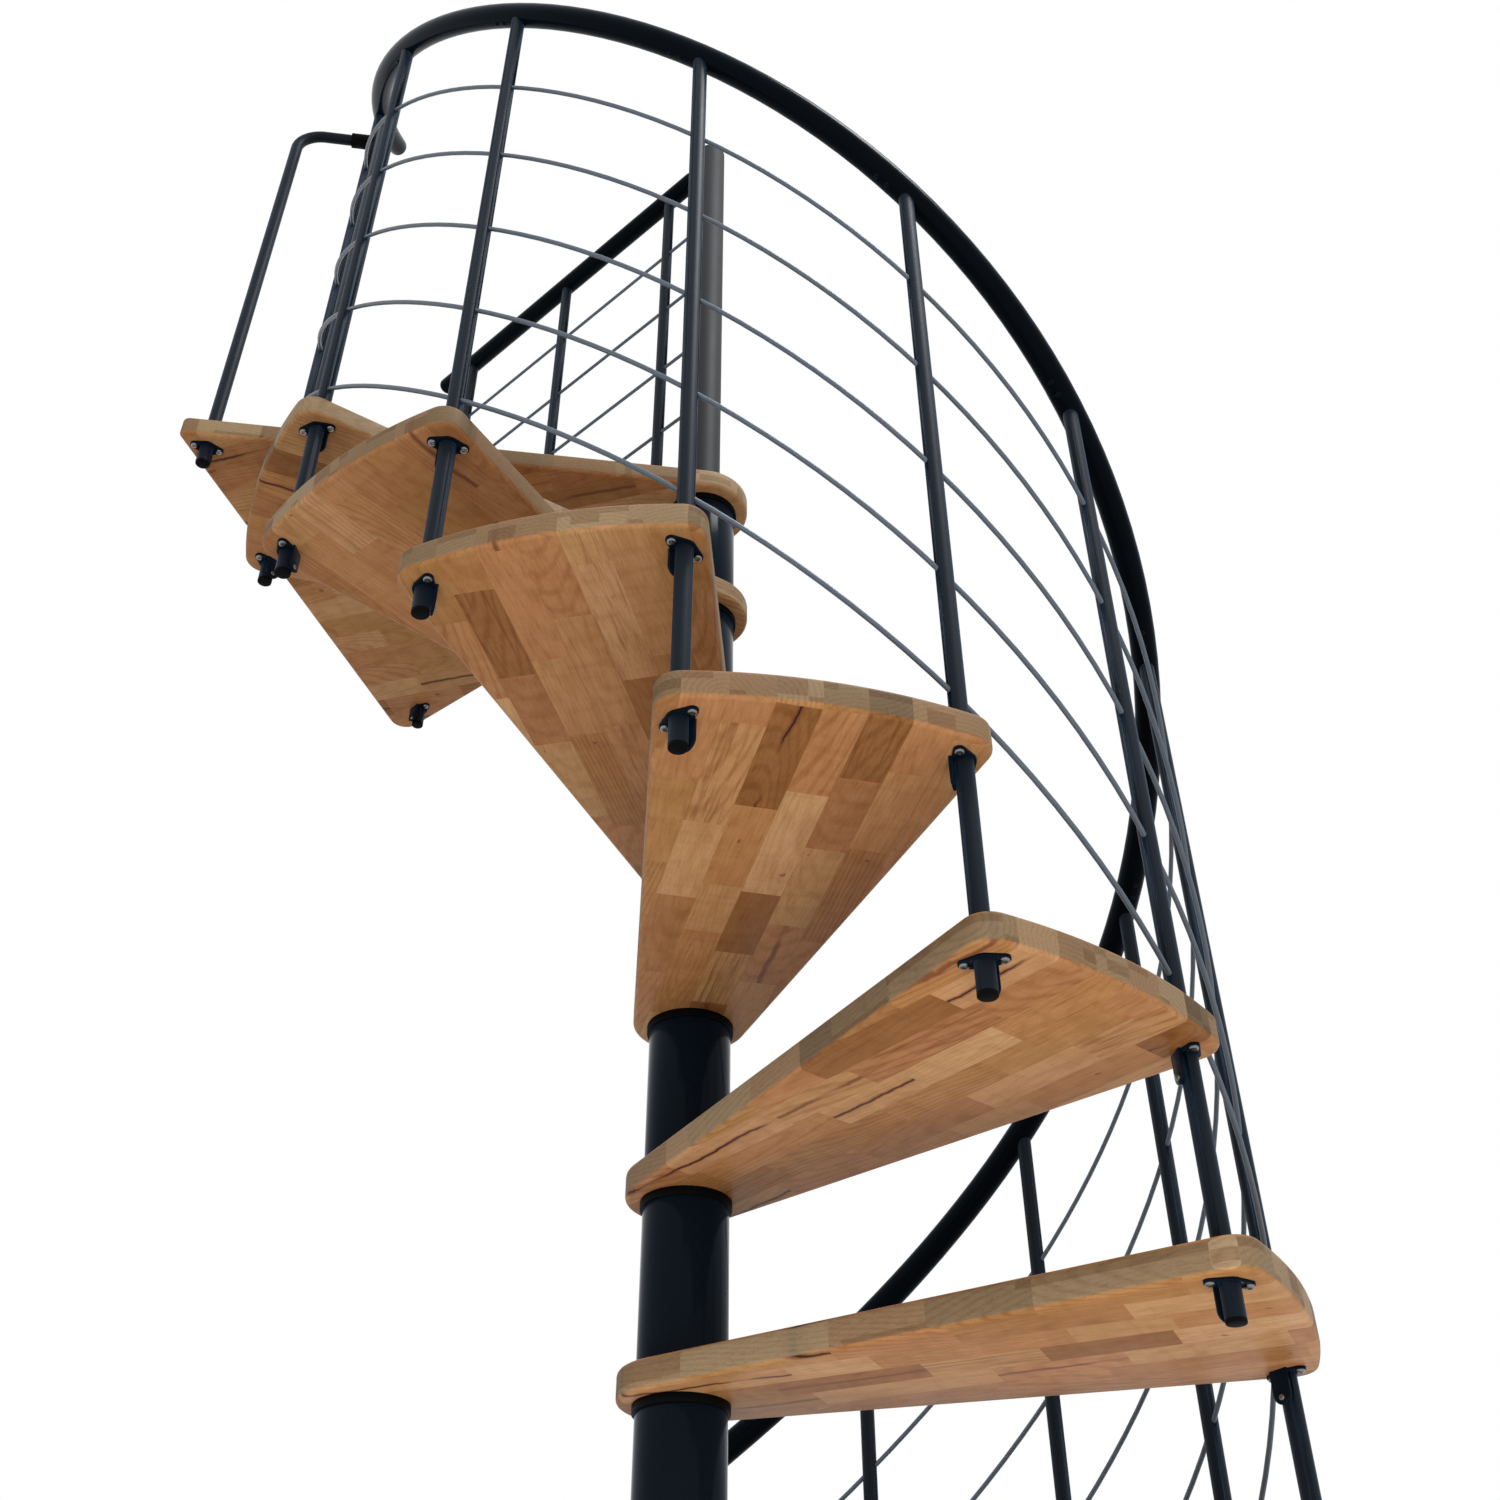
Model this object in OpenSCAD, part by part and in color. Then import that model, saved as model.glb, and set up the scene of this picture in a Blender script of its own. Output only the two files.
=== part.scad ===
// Spiral staircase: wooden treads and a landing on a tube column, tube balusters, thin helical rods.
// Frame: origin under the middle of the base plate, Z up, the landing's straight edge towards -X.
// The stair climbs clockwise seen from above.

/* [Stair] */
// Height from one tread top to the next
rise = 225; // [210:1:240]
// Treads below the landing
tread_count = 11; // [9:1:12]
// Turn from one tread to the next, in degrees
turn = 26.2; // [25:0.1:28]
// Radius of the circle the balusters stand on
baluster_circle_r = 636; // [600:1:700]
// Side clearance of every piece that slides into another
fit_gap = 0.3; // [0.2:0.05:0.4]

/* [Treads] */
// Thickness of treads and landing
tread_t = 34; // [30:1:42]
// Outer edge of the tread beyond the baluster circle
tread_overhang = 34; // [30:1:40]
// Radius of the round end at the column
tread_inner_r = 71.5; // [68:0.5:78]
// Angle between a tread's side edge and its middle line
tread_half_angle = 9; // [8.5:0.1:10.5]
// Radius of the outer corners
tread_corner_r = 28; // [20:1:32]
// Radius of the rounded edges
edge_r = 6; // [3:0.5:8]

/* [Landing] */
// Angle between a landing side edge and its middle line
landing_half_angle = 24.1; // [23.5:0.1:25]
// Angle of the last baluster from the landing's middle line
last_angle = 28; // [27.5:0.1:28.5]
// Angle of the landing rail from the landing's middle line
rail_angle = 27.4; // [26.5:0.1:28]
// Distance of the exit post from the last baluster, along the landing's side edge
exit_reach = 133; // [120:1:145]
// Distance of the exit post from the landing's straight outer edge
exit_post_inset = 30; // [25:0.5:34]
// Distance of the last rail post from the landing's straight outer edge
rail_post_inset = 68; // [50:1:80]
// Distance of the rail post beside the column
rail_first_r = 115; // [105:1:130]
// Radius of the landing's corner at the exit post
exit_corner_r = 11; // [10:1:28]

/* [Column] */
// Diameter of the tubes between the treads
column_d = 101.6; // [95:0.1:108]
// Diameter of the collars under the treads
collar_d = 108; // [106:1:112]
// Height of one collar
collar_h = 10; // [8:1:14]
// Wall of the column tubes
column_wall = 3; // [2:0.5:5]
// Diameter of the pole inside the column
pole_d = 54; // [50:1:58]
// Wall of the pole
pole_wall = 4; // [3:0.5:6]
// Height of the pole's end above the middle of the landing handrail
pole_over_rail = 35; // [30:1:60]
// Height of the pole's cap
cap_h = 6; // [4:1:10]
// Diameter of the base plate
base_d = 280; // [260:5:340]
// Thickness of the base plate
base_t = 10; // [8:1:15]
// Distance of the base bolt holes from the plate's edge
base_bolt_inset = 30; // [20:1:40]
// Diameter of the base bolt holes
base_bolt_d = 14; // [10:1:18]

/* [Balusters] */
// Outside diameter of balusters and posts
tube_d = 20; // [18:1:22]
// Wall of balusters and posts
tube_wall = 2; // [1.5:0.5:3]
// Length of the stub below a tread
stub = 34; // [30:1:40]
// Height of a plug's visible rim
plug_rim = 4; // [3:1:6]
// Depth of a plug inside its tube
plug_depth = 12; // [8:1:20]
// Height of the handrail's middle above the tread's underside
rail_above = 953; // [930:1:1000]
// Height of the landing handrail's middle above the landing's underside
landing_rail_above = 964; // [930:1:1000]
// Distance from the top of a tube up to the handrail's middle
tube_below_middle = 8; // [6:1:10]

/* [Brackets] */
// Distance between a bracket's two screws
bracket_screws = 37; // [34:1:42]
// Width of a bracket plate at its screws
bracket_w = 12.5; // [11:0.5:18]
// Width of the bracket plate around the tube
bracket_eye = 26; // [25:1:30]
// Thickness of the sheet a bracket is bent from
bracket_t = 3; // [2:0.5:4]
// Width of the tab along the tube
tab_w = 22; // [18:1:24]
// Length of the tab below the tread
tab_l = 34; // [30:1:36]
// Turn of the bracket plate from the tread's middle line
bracket_turn = 33; // [25:1:40]
// Turn of the exit side's bracket plates from the landing's middle line
exit_bracket_turn = 39; // [30:1:45]

/* [Handrail] */
// Width of the handrail
rail_w = 36; // [32:1:40]
// Height of the handrail
rail_h = 37; // [35:1:42]
// Share of a tread's turn that the handrail runs past the end balusters
rail_past = 0.587; // [0.5:0.001:0.8]
// Length of a handrail's rounded end
rail_end = 14; // [10:1:18]
// Start of the landing handrail, from the column axis
landing_rail_from = 38; // [34:1:60]
// Overhang of the landing handrail past its last post
landing_rail_past = 106; // [80:1:120]

/* [Rods] */
// Number of rods in the infill
rod_count = 5; // [3:1:5]
// Diameter of a rod
rod_d = 6; // [5:0.5:7]
// Height of the lowest rod above the tread's underside
rod_first = 78; // [70:1:90]
// Distance from the highest rod up to the handrail's middle
rod_drop = 199; // [150:1:220]
// Height of the lowest landing rod above the landing's underside
landing_rod_first = 109; // [90:1:120]
// Distance from the highest landing rod up to the landing handrail's middle
landing_rod_drop = 179; // [150:1:220]

/* [Exit post] */
// Distance from the exit post's level part up to the handrail's middle
exit_drop = 111; // [100:1:130]
// Bend radius of the exit post
exit_bend_r = 45; // [40:1:55]
// Diameter of the sleeve on the last baluster
sleeve_d = 27; // [26:1:32]
// Length of the sleeve
sleeve_l = 29; // [24:1:34]

/* [Hidden] */
$fn = 64;

landing_no = tread_count + 1;
landing_axis = 180;
tread_r = baluster_circle_r + tread_overhang;
half_turn = turn / 2;
tube_r = tube_d / 2;
rod_r = rod_d / 2;
bore_r = tube_r + fit_gap;
rod_hole_r = rod_r + fit_gap;
pole_r = pole_d / 2;
base_bolt_r = base_d / 2 - base_bolt_inset;
// Straight part of one side of a bracket plate, from where it leaves the eye to where it meets the end
bracket_lean = 90 - asin((bracket_eye - bracket_w) / bracket_screws);
bracket_leaves = polar(bracket_eye / 2, bracket_lean);
bracket_meets = [bracket_screws / 2, 0] + polar(bracket_w / 2, bracket_lean);
bracket_side = [bracket_leaves, bracket_meets,
    [bracket_meets.x, -bracket_meets.y], [bracket_leaves.x, -bracket_leaves.y]];
exit_above = rail_above - exit_drop;
rod_step = (rail_above - rod_drop - rod_first) / (rod_count - 1);
landing_rod_step = (landing_rail_above - landing_rod_drop - landing_rod_first) / (rod_count - 1);
last_point = polar(baluster_circle_r, last_angle);
exit_point = last_point + polar(exit_reach, landing_half_angle);
landing_depth = exit_point.x + exit_post_inset;
rail_last_r = (landing_depth - rail_post_inset) / cos(rail_angle);
rail_post_rs = [rail_first_r, (rail_first_r + rail_last_r) / 2, rail_last_r];
landing_under = under(landing_no);
pole_top = landing_under + landing_rail_above + pole_over_rail;
// Share of a tread's turn on either side of a baluster where a rod runs straight
straight_share = 0.05;
rod_path_r = baluster_circle_r / cos(straight_share * turn);
slope = atan(straight_share * rise / (baluster_circle_r * tan(straight_share * turn)));
// Shares of a tread's turn at which the rods and the handrail have a ring
rod_ring_shares = [straight_share, 0.275, 0.5, 0.725, 1 - straight_share];
rail_rings_per_turn = 7;
rod_sides = 6;
rail_sides = 20;
arc_steps = 8;
edge_steps = 2;
edge_insets = [for (i = [0 : edge_steps]) edge_r * (1 - sin(90 * i / edge_steps))];
end_rings = 5;
open_edge = 1;
body_colour = [0.08, 0.08, 0.09];
wood_colour = [0.72, 0.53, 0.35];
rod_colour = [0.45, 0.48, 0.5];

function under(n) = n * rise - tread_t;
function baluster_angle(n) = landing_axis + last_angle + (landing_no - n) * turn;
function tread_angle(n) = baluster_angle(n) - half_turn;
function polar(r, a) = [r * cos(a), r * sin(a)];
function arc(c, r, a0, a1, steps) = [for (i = [0 : steps]) c + polar(r, a0 + (a1 - a0) * i / steps)];
function numbered(stem, n) = str(stem, n < 10 ? "_0" : "_", n);
function rod_height(i) = rod_first + (i - 1) * rod_step;
function landing_rod_height(i) = landing_rod_first + (i - 1) * landing_rod_step;

// Plan of a tread, drawn in by a given inset: round inner end, straight sides, round corners, arc outside.
function tread_plan(inset) =
    let (ri = tread_inner_r - inset, ro = tread_r - inset, rc = tread_corner_r - inset)
    let (side = 90 + tread_half_angle)
    let (along = sqrt(pow(ro - rc, 2) - pow(ri - rc, 2)))
    let (c = polar(ri - rc, side) + polar(along, tread_half_angle))
    let (a = atan2(c.y, c.x))
    concat(arc([0, 0], ro, -a, a, arc_steps),
           arc(c, rc, a, side, arc_steps),
           arc([0, 0], ri, side, 360 - side, arc_steps),
           arc([c.x, -c.y], rc, -side, -a, arc_steps));

// Centre of a rounded landing corner on the exit side, where the outer edge and the side edge meet.
function landing_corner(r) =
    let (side = 90 + landing_half_angle)
    let (foot = polar(tread_inner_r - r, side))
    foot + polar((landing_depth - r - foot.x) / cos(landing_half_angle), landing_half_angle);

// Plan of the landing, drawn in by a given inset: as a tread, with a straight outer edge.
function landing_plan(inset) =
    let (side = 90 + landing_half_angle)
    let (exit = landing_corner(exit_corner_r), rail = landing_corner(tread_corner_r))
    concat(arc(exit, exit_corner_r - inset, 0, side, arc_steps),
           arc([0, 0], tread_inner_r - inset, side, 360 - side, arc_steps),
           arc([rail.x, -rail.y], tread_corner_r - inset, -side, 0, arc_steps));

function at_height(plan, z) = [for (q = plan) [q.x, q.y, z]];

// Closed solid through a list of rings with the same number of points.
module skin(rings) {
    n = len(rings[0]);
    last = len(rings) - 1;
    points = [for (ring = rings) each ring];
    sides = [for (i = [0 : last - 1], j = [0 : n - 1])
        let (k = (j + 1) % n)
        each [[i * n + j, (i + 1) * n + j, (i + 1) * n + k], [i * n + j, (i + 1) * n + k, i * n + k]]];
    caps = [[for (j = [0 : n - 1]) j], [for (j = [n - 1 : -1 : 0]) last * n + j]];
    polyhedron(points, concat(sides, caps));
}

// Board with rounded edges from its plans, the outermost plan last.
module board(plans) {
    steps = len(plans) - 1;
    up = [for (i = [0 : steps]) at_height(plans[i], edge_r * (1 - cos(90 * i / steps)))];
    over = [for (i = [steps : -1 : 0]) at_height(plans[i], tread_t - edge_r * (1 - cos(90 * i / steps)))];
    skin(concat(up, over));
}

module bore(at) {
    translate(concat(at, -tread_t)) cylinder(h = 3 * tread_t, r = bore_r);
}

module pole_bore() {
    translate([0, 0, -tread_t]) cylinder(h = 3 * tread_t, r = pole_r + fit_gap);
}

module tread(n) {
    color(wood_colour)
    rotate([0, 0, tread_angle(n)])
    translate([0, 0, under(n)])
    difference() {
        board([for (inset = edge_insets) tread_plan(inset)]);
        pole_bore();
        for (s = [-1, 1]) bore(polar(baluster_circle_r, s * half_turn));
    }
}

module landing() {
    color(wood_colour)
    rotate([0, 0, landing_axis])
    translate([0, 0, landing_under])
    difference() {
        board([for (inset = edge_insets) landing_plan(inset)]);
        pole_bore();
        bore(last_point);
        bore(exit_point);
        for (r = rail_post_rs) bore(polar(r, -rail_angle));
    }
}

module ring(h, r, wall) {
    difference() {
        cylinder(h = h, r = r);
        translate([0, 0, -open_edge]) cylinder(h = h + 2 * open_edge, r = r - wall);
    }
}

module base_plate() {
    color(body_colour)
    difference() {
        cylinder(h = base_t, d = base_d);
        for (a = [45 : 90 : 315])
            translate(concat(polar(base_bolt_r, a), -open_edge))
            cylinder(h = base_t + 2 * open_edge, d = base_bolt_d);
    }
}

module centre_pole() {
    color(body_colour)
    difference() {
        translate([0, 0, base_t]) ring(pole_top - cap_h - base_t, pole_r, pole_wall);
        for (i = [1 : rod_count])
            rotate([0, 0, landing_axis - rail_angle])
            translate([0, 0, landing_under + landing_rod_height(i)])
            rotate([0, 90, 0])
            cylinder(h = pole_d, r = rod_hole_r);
    }
}

module pole_cap() {
    color(body_colour)
    translate([0, 0, pole_top - cap_h]) {
        cylinder(h = cap_h, r = pole_r);
        translate([0, 0, -plug_depth]) cylinder(h = plug_depth + open_edge, r = pole_r - pole_wall - fit_gap);
    }
}

module column_tubes() {
    color(body_colour)
    for (n = [1 : landing_no]) {
        foot = n == 1 ? base_t : (n - 1) * rise;
        translate([0, 0, foot]) ring(under(n) - collar_h - foot, column_d / 2, column_wall);
    }
}

module column_collars() {
    color(body_colour)
    for (n = [1 : landing_no])
        translate([0, 0, under(n) - collar_h])
        ring(collar_h, collar_d / 2, collar_d / 2 - pole_r - fit_gap);
}

// A baluster ends below the tread before it, the first one on the floor.
function baluster_foot(n) = n == 1 ? 0 : under(n - 1) - stub - plug_rim;

module rod_hole(first, last) {
    rotate([90 - slope, 0, 0])
    translate([0, 0, first ? 0 : -tube_d])
    cylinder(h = first || last ? tube_d : 2 * tube_d, r = rod_hole_r);
}

module baluster(n) {
    foot = baluster_foot(n) + plug_rim;
    color(body_colour)
    rotate([0, 0, baluster_angle(n)])
    translate([baluster_circle_r, 0, 0])
    difference() {
        translate([0, 0, foot]) ring(under(n) + rail_above - tube_below_middle - foot, tube_r, tube_wall);
        for (i = [1 : rod_count])
            translate([0, 0, under(n) + rod_height(i)]) rod_hole(n == 1, n == landing_no);
    }
}

module plug() {
    cylinder(h = plug_rim, r = tube_r);
    cylinder(h = plug_rim + plug_depth, r = tube_r - tube_wall - fit_gap);
}

module baluster_plugs() {
    color(body_colour)
    for (n = [1 : landing_no])
        translate(concat(polar(baluster_circle_r, baluster_angle(n)), baluster_foot(n))) plug();
}

// Plate under the wood with an eye for the tube and one tab down along it.
module bracket() {
    translate([0, 0, -bracket_t])
    linear_extrude(bracket_t)
    difference() {
        union() {
            circle(d = bracket_eye);
            for (s = [-1, 1]) translate([s * bracket_screws / 2, 0]) circle(d = bracket_w);
            for (s = [0, 1]) mirror([s, 0, 0]) polygon(bracket_side);
        }
        circle(r = bore_r);
    }
    translate([0, bore_r + bracket_t, -tab_l])
    rotate([90, 0, 0])
    linear_extrude(bracket_t) {
        translate([0, tab_w / 2]) circle(d = tab_w);
        translate([-tab_w / 2, tab_w / 2]) square([tab_w, tab_l - tab_w / 2]);
    }
}

module tread_brackets() {
    color(body_colour)
    for (n = [1 : tread_count], s = [-1, 1])
        rotate([0, 0, tread_angle(n)])
        translate(concat(polar(baluster_circle_r, s * half_turn), under(n)))
        mirror([0, s > 0 ? 1 : 0, 0])
        rotate([0, 0, bracket_turn])
        bracket();
}

// Places under the landing: the given points of the exit side, and the rail posts.
module landing_places(exit_side) {
    rotate([0, 0, landing_axis]) {
        for (q = exit_side)
            translate(concat(q, landing_under))
            mirror([0, 1, 0])
            rotate([0, 0, -exit_bracket_turn])
            children();
        for (r = rail_post_rs)
            translate(concat(polar(r, -rail_angle), landing_under))
            rotate([0, 0, -rail_angle])
            children();
    }
}

module landing_brackets() {
    color(body_colour)
    landing_places([last_point, exit_point]) bracket();
}

// Point of a helix ring: n counts treads, u goes outwards and v up across the run.
function helix_point(n, r, z, u, v) =
    let (a = baluster_angle(n), lean = -v * sin(slope))
    [(r + u) * cos(a) + lean * sin(a), (r + u) * sin(a) - lean * cos(a), z + v * cos(slope)];

function oval(i) =
    let (a = 360 * i / rail_sides)
    [cos(a) * rail_w / 2, sin(a) * rail_h / 2];

function round_end(i) = 90 * (i - 0.6) / end_rings;
function rail_ring(n, size) =
    [for (i = [0 : rail_sides - 1])
        helix_point(n, baluster_circle_r, under(n) + rail_above, size * oval(i).x, size * oval(i).y)];

// Blind hole from below for the top of a tube, seen from the handrail's middle.
module rail_socket() {
    translate([0, 0, fit_gap - tube_below_middle - rail_h]) cylinder(h = rail_h, r = bore_r);
}

module handrail() {
    first = 1 - rail_past;
    last = landing_no + rail_past;
    step = 1 / rail_rings_per_turn;
    count = ceil((last - first) / step);
    run = baluster_circle_r * turn * PI / 180 / cos(slope);
    end = rail_end / run;
    starts = [for (i = [1 : end_rings]) [first + end * (1 - sin(round_end(i))), sin(round_end(i))]];
    middle = [for (i = [1 : count - 1]) [first + (last - first) * i / count, 1]];
    stops = [for (i = [end_rings : -1 : 1]) [last - end * (1 - sin(round_end(i))), cos(90 - round_end(i))]];
    color(body_colour)
    difference() {
        skin([for (q = concat(starts, middle, stops)) rail_ring(q[0], q[1])]);
        for (n = [1 : landing_no])
            rotate([0, 0, baluster_angle(n)])
            translate([baluster_circle_r, 0, under(n) + rail_above])
            rail_socket();
    }
}

function rod_ring(n, i) =
    [for (j = [0 : rod_sides - 1])
        let (a = 360 * j / rod_sides)
        helix_point(n, rod_path_r, under(n) + rod_height(i), rod_r * cos(a), rod_r * sin(a))];

module infill_rod(i) {
    between = [for (n = [1 : tread_count]) each [for (q = rod_ring_shares) n + q]];
    color(rod_colour)
    skin([for (n = concat(1, between, landing_no)) rod_ring(n, i)]);
}

module landing_posts() {
    foot = landing_under - stub;
    color(body_colour)
    difference() {
        for (r = rail_post_rs)
            translate(concat(polar(r, landing_axis - rail_angle), foot))
            ring(stub + landing_rail_above - tube_below_middle, tube_r, tube_wall);
        landing_rod_run(rod_hole_r);
    }
}

module landing_plugs() {
    color(body_colour)
    landing_places([exit_point]) translate([0, 0, -stub - plug_rim]) plug();
}

// Straight rods from the pole to the last post of the landing rail.
module landing_rod_run(r) {
    from = pole_r - pole_wall;
    for (i = [1 : rod_count])
        rotate([0, 0, landing_axis - rail_angle])
        translate([from, 0, landing_under + landing_rod_height(i)])
        rotate([0, 90, 0])
        cylinder(h = rail_last_r - from, r = r);
}

module landing_rods() {
    color(rod_colour) landing_rod_run(rod_r);
}

function straight_ring(x, size) =
    [for (i = [0 : rail_sides - 1]) [x, size * oval(i).x, size * oval(i).y]];

module landing_handrail() {
    ends = [for (i = [1 : end_rings]) [rail_end * (1 - sin(round_end(i))), sin(round_end(i))]];
    starts = [for (q = ends) [landing_rail_from + q[0], q[1]]];
    to = rail_last_r + landing_rail_past;
    stops = [for (i = [end_rings - 1 : -1 : 0]) [to - ends[i][0], ends[i][1]]];
    color(body_colour)
    rotate([0, 0, landing_axis - rail_angle])
    translate([0, 0, landing_under + landing_rail_above])
    difference() {
        skin([for (q = concat(starts, stops)) straight_ring(q[0], q[1])]);
        for (r = rail_post_rs) translate([r, 0, 0]) rail_socket();
    }
}

// Frame at the last baluster, turned along the landing's side edge.
module exit_frame() {
    rotate([0, 0, landing_axis])
    translate(concat(last_point, landing_under))
    rotate([0, 0, landing_half_angle])
    children();
}

// Run of the exit post from its stub up and over to the last baluster, open ends drawn past.
module exit_path(r, past) {
    level = exit_reach - exit_bend_r;
    end = bore_r + sleeve_l / 3;
    translate([exit_reach, 0, -stub - past])
    cylinder(h = stub + past + exit_above - exit_bend_r, r = r);
    translate([level, 0, exit_above - exit_bend_r])
    rotate([90, 0, 0])
    rotate_extrude(angle = 90)
    translate([exit_bend_r, 0]) circle(r = r);
    translate([end - past, 0, exit_above])
    rotate([0, 90, 0])
    cylinder(h = level - end + past, r = r);
}

module exit_post() {
    color(body_colour)
    exit_frame()
    difference() {
        exit_path(tube_r, 0);
        exit_path(tube_r - tube_wall, open_edge);
    }
}

module exit_sleeve() {
    color(body_colour)
    exit_frame()
    translate([0, 0, exit_above])
    difference() {
        rotate([0, 90, 0]) cylinder(h = bore_r + sleeve_l, d = sleeve_d);
        rotate([0, 90, 0]) cylinder(h = bore_r + sleeve_l + open_edge, r = bore_r);
        cylinder(h = 2 * sleeve_d, r = bore_r, center = true);
        translate([-sleeve_d, 0, 0]) cube(2 * sleeve_d, center = true);
    }
}

base_plate();
centre_pole();
pole_cap();
column_tubes();
column_collars();
for (n = [1 : tread_count])
    tread(n);
landing();
for (n = [1 : landing_no])
    baluster(n);
baluster_plugs();
tread_brackets();
handrail();
for (i = [1 : rod_count])
    infill_rod(i);
landing_posts();
landing_plugs();
landing_brackets();
landing_handrail();
landing_rods();
exit_post();
exit_sleeve();
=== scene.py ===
import math
import bmesh
import bpy
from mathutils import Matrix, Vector


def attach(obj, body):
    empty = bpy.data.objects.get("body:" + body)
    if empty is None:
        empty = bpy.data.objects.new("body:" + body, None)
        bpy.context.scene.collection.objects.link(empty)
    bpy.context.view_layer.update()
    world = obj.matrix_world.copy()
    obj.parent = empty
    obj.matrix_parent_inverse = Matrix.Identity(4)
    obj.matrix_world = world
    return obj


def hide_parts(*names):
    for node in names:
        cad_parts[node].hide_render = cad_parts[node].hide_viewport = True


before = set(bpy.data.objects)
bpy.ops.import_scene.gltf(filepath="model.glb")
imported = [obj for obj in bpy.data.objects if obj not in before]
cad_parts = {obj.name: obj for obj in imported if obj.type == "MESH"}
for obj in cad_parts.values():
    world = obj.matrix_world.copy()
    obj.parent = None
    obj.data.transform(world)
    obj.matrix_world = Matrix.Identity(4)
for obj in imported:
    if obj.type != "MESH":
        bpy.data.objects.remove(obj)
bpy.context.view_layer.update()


# Base plate: a round steel plate under the centre pole, gloss black.
# It is cut from 10 mm plate, its upper rim is turned, and four bolts hold it to the floor.
class Wire:
    """An output socket among a material's nodes, reckoned with as a number."""

    def __init__(self, tree, socket):
        self.tree = tree
        self.socket = socket

    def node(self, kind, settings, inputs, output=0):
        """Adds a node with its settings and its sockets' values or links, and gives one output."""
        new = self.tree.nodes.new(kind)
        for name, value in settings.items():
            setattr(new, name, value)
        for name, value in inputs.items():
            if isinstance(value, Wire):
                self.tree.links.new(value.socket, new.inputs[name])
            else:
                new.inputs[name].default_value = value
        return Wire(self.tree, new.outputs[output])

    def maths(self, operation, *values):
        return self.node("ShaderNodeMath", {"operation": operation}, dict(enumerate(values)))

    def __add__(self, other):
        return self.maths("ADD", self, other)

    def __radd__(self, other):
        return self.maths("ADD", other, self)

    def __sub__(self, other):
        return self.maths("SUBTRACT", self, other)

    def __rsub__(self, other):
        return self.maths("SUBTRACT", other, self)

    def __mul__(self, other):
        return self.maths("MULTIPLY", self, other)

    def __rmul__(self, other):
        return self.maths("MULTIPLY", other, self)

    def __truediv__(self, other):
        return self.maths("DIVIDE", self, other)

    def __gt__(self, other):
        return self.maths("GREATER_THAN", self, other)

    def __lt__(self, other):
        return self.maths("LESS_THAN", self, other)

    def __abs__(self):
        return self.maths("ABSOLUTE", self)

    def __floor__(self):
        return self.maths("FLOOR", self)

    def shift(self, vector):
        return self.node("ShaderNodeVectorMath", {"operation": "ADD"}, {0: self, 1: vector})

    def stretch(self, vector):
        return self.node("ShaderNodeVectorMath", {"operation": "MULTIPLY"}, {0: self, 1: vector})

    def part(self, axis):
        return self.node("ShaderNodeSeparateXYZ", {}, {"Vector": self}, axis)

    def noise(self, scale, detail=3.0, roughness=0.5):
        inputs = {"Vector": self, "Scale": scale, "Detail": detail, "Roughness": roughness}
        return self.node("ShaderNodeTexNoise", {}, inputs)

    def ramp(self, low, high):
        inputs = {"Value": self, "From Min": low, "From Max": high}
        return self.node("ShaderNodeMapRange", {"interpolation_type": "SMOOTHSTEP"}, inputs)

    def mix(self, first, second):
        return self.node("ShaderNodeMix", {"data_type": "RGBA"}, {0: self, 6: first, 7: second}, 2)

    def darken(self, colour, tint):
        settings = {"data_type": "RGBA", "blend_type": "MULTIPLY"}
        return self.node("ShaderNodeMix", settings, {0: self, 6: colour, 7: tint}, 2)

    def bump(self, strength, distance):
        inputs = {"Strength": strength, "Distance": distance, "Height": self}
        return self.node("ShaderNodeBump", {}, inputs)

    def into(self, shader, name):
        self.tree.links.new(self.socket, shader.inputs[name])


def material(name, fixed):
    """A new material: itself, its shader with the fixed values set, and its Object coordinates."""
    new = bpy.data.materials.new(name)
    new.use_nodes = True
    shader = new.node_tree.nodes["Principled BSDF"]
    for socket, value in fixed.items():
        shader.inputs[socket].default_value = value
    coordinates = new.node_tree.nodes.new("ShaderNodeTexCoord")
    return new, shader, Wire(new.node_tree, coordinates.outputs["Object"])


# The blue sheen tint is painted light: it puts blue rims on the dark parts at grazing angles,
# which the black paint itself does not have.
painted_blue_sheen = {"Sheen Weight": 0.07, "Sheen Roughness": 0.5, "Sheen Tint": (0.2, 0.52, 1.0, 1)}
black_paint, shader, place = material("black_paint", {"Specular IOR Level": 0.04, **painted_blue_sheen})
cloud = place.noise(7.0, 4.0)
dust = place.noise(260.0, 2.0).ramp(0.62, 0.8)
# The navy cast of this near-black base colour is a painted reflection of blue sky; the paint
# itself is black.
tint = cloud.mix((0.0020, 0.0044, 0.0078, 1), (0.0030, 0.0058, 0.0096, 1))
(dust * 0.2).mix(tint, (0.015, 0.017, 0.020, 1)).into(shader, "Base Color")
(cloud * 0.08 + dust * 0.12 + 0.10).into(shader, "Roughness")
place.noise(620.0, 1.0).bump(0.05, 0.0006).into(shader, "Normal")


def add(name, primitive, **settings):
    """Adds a primitive as a new piece, with its size and place in its mesh."""
    bpy.ops.object.select_all(action="DESELECT")
    primitive(**settings)
    piece = bpy.context.object
    piece.name = name
    bpy.ops.object.transform_apply(location=True, rotation=True, scale=True)
    return piece


def pick(piece, kind, test):
    """Opens a piece for editing and selects its points, edges or faces that pass a test."""
    bpy.context.view_layer.objects.active = piece
    bpy.ops.object.mode_set(mode="EDIT")
    bpy.ops.mesh.select_mode(type=kind)
    bpy.ops.mesh.select_all(action="DESELECT")
    shape = bmesh.from_edit_mesh(piece.data)
    for item in {"VERT": shape.verts, "EDGE": shape.edges, "FACE": shape.faces}[kind]:
        if test(item):
            item.select_set(True)
    bmesh.update_edit_mesh(piece.data)


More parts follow.
